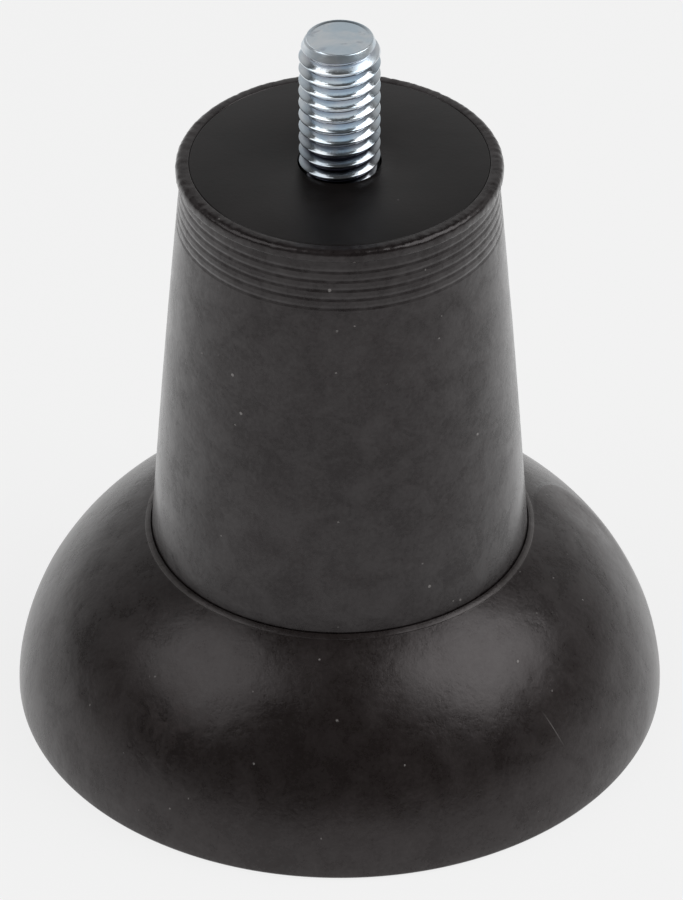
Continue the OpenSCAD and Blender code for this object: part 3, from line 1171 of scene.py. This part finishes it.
    def build_nut(self) -> None:
        """Models the lock nut with its real inner thread and the collar round its nylon ring."""
        hexagon_top = self.nut.bottom + self.nut_hexagon
        piece = hexagon("lock_nut_threaded", self.nut.radius, self.nut.bottom, hexagon_top, True, True)
        collar = spin_piece("collar", [
            Vector((self.crest * 0.5, hexagon_top - 0.5 * MM)),
            Vector((self.nut_collar, hexagon_top - 0.5 * MM)),
            Vector((self.nut_collar, self.nut.top)),
            Vector((self.crest * 0.5, self.nut.top)),
        ], 96)
        combine(piece, collar, Cut.JOIN)
        seat = spin_piece("nylon_seat", [
            Vector((0, hexagon_top)),
            Vector((self.nylon_radius, hexagon_top)),
            Vector((self.nylon_radius, self.nut.top + MM)),
            Vector((0, self.nut.top + MM)),
        ], 96)
        combine(piece, seat, Cut.REMOVE)
        tap = Thread(self.crest + self.nut_bore, self.nut.bottom - MM, hexagon_top + 0.5 * MM,
                     self.front_crest).build("tap")
        combine(piece, tap, Cut.REMOVE)
        smooth(piece, 32)
        settle(piece, ZINC, Body.LEG, "lock_nut")

    def build(self) -> None:
        """Models every piece of the neck."""
        self.build_sleeve()
        self.build_plate()
        self.build_nut()


@dataclass
class SwivelBase:
    """The part that stands still on the floor: the rubber boot, its core and the washer under it."""

    boot: Extent = field(default_factory=lambda: Extent.of("sole_boot"))
    core: Extent = field(default_factory=lambda: Extent.of("base_core"))
    bush: Extent = field(default_factory=lambda: Extent.of("pivot_bush"))
    glide: Extent = field(default_factory=lambda: Extent.of("glide_ring"))
    washer: Extent = field(default_factory=lambda: Extent.of("head_washer"))
    crest: float = field(default_factory=lambda: stud_mount()["dims"]["r_mm"] * MM)
    neck: Neck = field(default_factory=Neck)
    shoulder_radius: float = 9.5 * MM
    shoulder_power: float = 1.8
    collar_height: float = 14.9 * MM
    collar_gap: float = 0.2 * MM
    wipe: float = 0.165 * MM
    lip: float = 0.3 * MM
    lip_drop: float = 0.24 * MM
    sole_edge: float = 0.3 * MM
    grip: float = 2.6 * MM
    seat: float = 11.6 * MM
    flange_top: float = 8.4 * MM
    flange_step: float = 1 * MM
    tread_count: int = 3
    tread_width: float = 0.9 * MM
    tread_depth: float = 0.7 * MM
    recess_gap: float = 0.6 * MM
    pivot_wall: float = 1.6 * MM
    glide_width: float = 3.2 * MM
    pocket_count: int = 12
    pocket_rib: float = 1.2 * MM
    pocket_wall: float = 1.4 * MM
    pocket_depth: float = 3 * MM
    washer_gap: float = 0.15 * MM
    dome_waves: Waves = Waves(7 * MM, 0.08 * MM, 0.05)
    lip_waves: Waves = Waves(0.9 * MM, 0.05 * MM, 0.07)

    def shoulder(self, steps: int = 44) -> list[Corner]:
        """Gives the dome's curve, from the sole's edge up to the lip.

        Args:
            steps: The number of edges in the curve.

        Returns:
            The curve's corners.
        """
        width = self.boot.radius - self.shoulder_radius
        lip_radius = self.neck.cone(self.boot.top) + self.collar_gap + self.lip
        rise = self.collar_height - self.sole_edge
        share = 1 - ((lip_radius - self.shoulder_radius) / width) ** self.shoulder_power
        height = rise / share ** (1 / self.shoulder_power)
        corners = []
        for step in range(1, steps + 1):
            up = rise * math.sin(math.pi / 2 * step / steps)
            out = (1 - (up / height) ** self.shoulder_power) ** (1 / self.shoulder_power)
            corners.append(Corner(self.shoulder_radius + width * out, self.sole_edge + up))
        return corners

    def tread(self, radius: float) -> list[Corner]:
        """Gives the corners of one sole groove, from the inside outwards."""
        half = self.tread_width / 2
        return [
            Corner(radius - half, 0, 0.12 * MM),
            Corner(radius - half / 2, self.tread_depth, 0.15 * MM),
            Corner(radius + half / 2, self.tread_depth, 0.15 * MM),
            Corner(radius + half, 0, 0.12 * MM),
        ]

    def build_boot(self) -> None:
        """Models the moulded rubber boot, with its lip, its dome and the grooves in its sole."""
        hole = self.core.radius - self.grip
        inner = hole + self.sole_edge
        spacing = (self.boot.radius - self.sole_edge - inner) / (self.tread_count + 1)
        treads = [self.tread(inner + spacing * index) for index in range(1, self.tread_count + 1)]
        bore = self.neck.cone(self.boot.top) + self.collar_gap
        corners = [
            Corner(hole, 0, self.sole_edge),
            *[corner for tread in treads for corner in tread],
            Corner(self.boot.radius, 0, self.sole_edge),
            *self.shoulder(),
            Corner(bore + self.lip, self.boot.top - self.lip_drop, 0.16 * MM),
            Corner(bore - self.wipe, self.boot.top, 0.05 * MM),
            Corner(bore, self.boot.top - 0.6 * MM, 0.1 * MM),
            Corner(self.neck.cone(self.seat) + self.collar_gap, self.seat),
            Corner(self.core.radius - self.flange_step, self.flange_top),
            Corner(self.core.radius, self.flange_top),
            Corner(self.core.radius, self.core.bottom),
            Corner(hole, self.core.bottom),
        ]
        piece = spin_piece("sole_boot_moulded", rounded(corners, 5), 288)
        roughen(piece, self.dome_waves,
                lambda at: climb(off_axis(at), self.core.radius, 2 * MM) * climb(at.z, MM, MM))
        roughen(piece, self.lip_waves,
                lambda at: 1.0 if at.z > self.collar_height and off_axis(at) > bore + 0.08 * MM else 0.0)
        smooth(piece, 50)
        settle(piece, BASE_RUBBER, Body.BASE, "sole_boot")

    def build_core(self) -> None:
        """Models the moulded core that shows from below, with its ring of pockets and ribs."""
        bottom, top = self.core.bottom, self.core.top
        recess = self.washer.radius + self.recess_gap
        pivot = self.bush.radius + self.pivot_wall
        glide_in = self.glide.radius - self.glide_width
        corners = [
            Corner(self.bush.radius, top, 0.1 * MM),
            Corner(pivot, top, 0.25 * MM),
            Corner(pivot, self.seat, 0.4 * MM),
            Corner(glide_in, self.seat, 0.1 * MM),
            Corner(glide_in, self.glide.bottom),
            Corner(self.glide.radius, self.glide.bottom),
            Corner(self.glide.radius, self.seat, 0.1 * MM),
            Corner(self.neck.cone(self.seat) + self.collar_gap, self.seat),
            Corner(self.core.radius - self.flange_step, self.flange_top),
            Corner(self.core.radius, self.flange_top),
            Corner(self.core.radius, bottom),
            Corner(recess, bottom, 0.3 * MM),
            Corner(recess, self.bush.bottom, 0.25 * MM),
            Corner(self.bush.radius, self.bush.bottom, 0.1 * MM),
        ]
        piece = spin_piece("base_core_moulded", rounded(corners), 192)
        combine(piece, self.build_pockets(recess + self.pocket_wall), Cut.REMOVE)
        smooth(piece, 38)
        settle(piece, BLACK_NYLON, Body.BASE, "base_core")

    def build_pockets(self, inside: float) -> bpy.types.Object:
        """Models the pockets as one ring of solids to be cut away.

        Args:
            inside: The pockets' inner radius.

        Returns:
            The solids.
        """
        outside = self.core.radius - self.grip - self.pocket_wall
        floor, spare = self.core.bottom + self.pocket_depth, 0.5 * MM
        middle = (inside + outside) / 2
        sweep = FULL_TURN / self.pocket_count - self.pocket_rib / middle
        pocket = draw_outline("pocket", [
            Vector((inside, self.core.bottom - spare)),
            Vector((outside, self.core.bottom - spare)),
            Vector((outside - 0.1 * MM, floor)),
            Vector((inside + 0.1 * MM, floor)),
        ], closed=True)
        bpy.ops.mesh.select_all(action="SELECT")
        bpy.ops.mesh.edge_face_add()
        bpy.ops.mesh.spin(steps=12, angle=sweep, center=(0, 0, 0), axis=UP)
        close_mesh()
        bpy.ops.object.mode_set(mode="OBJECT")
        add_modifier(pocket, "BEVEL", width=0.45 * MM, segments=4, limit_method="ANGLE",
                     angle_limit=math.radians(50))
        copy_round(pocket, self.pocket_count)
        return pocket

    def build_washer(self) -> None:
        """Models the pressed washer, rounded on one side and sharp on the other."""
        hole = self.crest + self.washer_gap
        corners = [
            Corner(hole, self.washer.bottom, 0.25 * MM),
            Corner(self.washer.radius, self.washer.bottom, 0.35 * MM),
            Corner(self.washer.radius, self.washer.top, 0.06 * MM),
            Corner(hole, self.washer.top, 0.06 * MM),
        ]
        piece = spin_piece("head_washer_pressed", rounded(corners), 144)
        smooth(piece, 40)
        settle(piece, ZINC, Body.LEG, "head_washer")

    def build(self) -> None:
        """Models every piece of the base, and the washer that holds it up."""
        self.build_boot()
        self.build_core()
        self.build_washer()


def dress_kept_nodes() -> None:
    """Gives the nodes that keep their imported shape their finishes."""
    kept = {"spacer_tube": ZINC, "nut_nylon_ring": WHITE_NYLON, "neck_core": BLACK_NYLON,
            "pivot_bush": WHITE_NYLON, "glide_ring": WHITE_NYLON}
    for name, finish in kept.items():
        finish.put_on(frame["nodes"][name])
        log.info("%s: kept from the frame", name)


# ---------------------------------------------------------------- the studio


@dataclass(frozen=True)
class Softbox:
    """A rectangular soft light: where it stands, its width and height, and its power in watts."""

    name: str
    place: tuple[float, float, float]
    width: float
    height: float
    power: float


@dataclass
class Studio:
    """A pale floor, soft light all round and the camera.

    The room's light is dim in front and overhead, and brighter behind and at the horizon. The fades
    are ranges of the direction's part along Y, towards the back, or along Z, upwards.
    """

    elevation: float = math.radians(36.15)
    distance: float = 0.4709
    aim: Vector = field(default_factory=lambda: Vector((0.00014, 0, 0.0216)))
    lens: float = 247.5
    sensor: float = 36
    floor_size: float = 4
    floor_colour: Colour = (0.10, 0.10, 0.10)
    floor_glow: float = 0.82
    front: float = 0.13
    overhead: float = 0.10
    behind: float = 0.70
    horizon: float = 0.42
    overhead_fade: tuple[float, float] = (0.75, 0.98)
    back_fade: tuple[float, float] = (0.05, 0.85)
    behind_fade: tuple[float, float] = (0.56, 0.76)
    horizon_fade: tuple[float, float] = (0.0, 0.24)
    softbox_target: tuple[float, float, float] = (0, 0, 0.025)
    softboxes: tuple[Softbox, ...] = (
        Softbox("left_softbox", (-0.37, -0.10, 0.455), 0.42, 0.40, 0.88),
        Softbox("right_softbox", (0.375, -0.06, 0.455), 0.44, 0.44, 1.8),
    )

    def build_floor(self) -> None:
        """Lays a plain pale floor under the sole."""
        start_fresh()
        bpy.ops.mesh.primitive_plane_add(size=self.floor_size, location=(0, 0, -0.02 * MM))
        floor = bpy.context.object
        floor.name = "studio_floor"
        apply_place(floor)
        material = bpy.data.materials.new("studio_floor")
        sheet = NodeSheet(material)
        shade = sheet.fade(sheet.noise(0.6, 1), 0.2, 0.8)
        tint = sheet.blend(shade, self.floor_colour, tuple(0.985 * part for part in self.floor_colour))
        sheet.finish(Base_Color=tint, Roughness=0.9, Specular_IOR_Level=0.1,
                     Emission_Color=(1.0, 1.0, 1.0), Emission_Strength=self.floor_glow)
        floor.data.materials.append(material)

    def build_world(self) -> None:
        """Lights the room: dim in front and overhead, brighter at the horizon and behind the foot."""
        world = bpy.data.worlds.new("studio_world")
        bpy.context.scene.world = world
        sheet = NodeSheet(world)
        depth = sheet.along("Y")
        height = sheet.along("Z")
        room = sheet.fade(height, *self.overhead_fade, self.front, self.overhead)
        back = sheet.fade(depth, *self.back_fade) * sheet.fade(height, *self.behind_fade, self.behind, 0.0)
        low = sheet.fade(height, *self.horizon_fade, self.horizon, 0.0)
        light = sheet.add("ShaderNodeBackground", None, {"Strength": room.larger(back).larger(low)})
        output = sheet.tree.nodes.new("ShaderNodeOutputWorld")
        sheet.tree.links.new(light.socket, output.inputs["Surface"])

    def add_softbox(self, box: Softbox) -> None:
        """Adds a soft light that faces the foot.

        Args:
            box: The light.
        """
        start_fresh()
        bpy.ops.object.light_add(type="AREA", location=box.place)
        lamp = bpy.context.object
        lamp.name = box.name
        lamp.data.shape = "RECTANGLE"
        lamp.data.size = box.width
        lamp.data.size_y = box.height
        lamp.data.energy = box.power
        towards = Vector(self.softbox_target) - Vector(box.place)
        lamp.rotation_euler = towards.to_track_quat("-Z", "Y").to_euler()

    def build_camera(self) -> None:
        """Sets the camera on its arc in front of the foot."""
        away = Vector((0, -math.cos(self.elevation), math.sin(self.elevation))) * self.distance
        start_fresh()
        bpy.ops.object.camera_add(location=self.aim + away)
        camera = bpy.context.object
        camera.name = "studio_camera"
        camera.rotation_euler = (-away).to_track_quat("-Z", "Y").to_euler()
        camera.data.lens = self.lens
        camera.data.sensor_width = self.sensor
        camera.data.clip_start = 0.01
        camera.data.clip_end = 20
        bpy.context.scene.camera = camera

    def build(self) -> None:
        """Sets up the whole studio."""
        self.build_floor()
        self.build_world()
        for box in self.softboxes:
            self.add_softbox(box)
        self.build_camera()
        bpy.context.scene.view_settings.view_transform = "Standard"
        log.info("studio: floor, world, softboxes and camera")


def main() -> None:
    """Builds the foot and its studio."""
    logging.basicConfig(level=logging.INFO, format="%(name)s: %(message)s")
    StudBolt().build()
    Neck().build()
    SwivelBase().build()
    dress_kept_nodes()
    Studio().build()


if __name__ == "__main__":
    main()
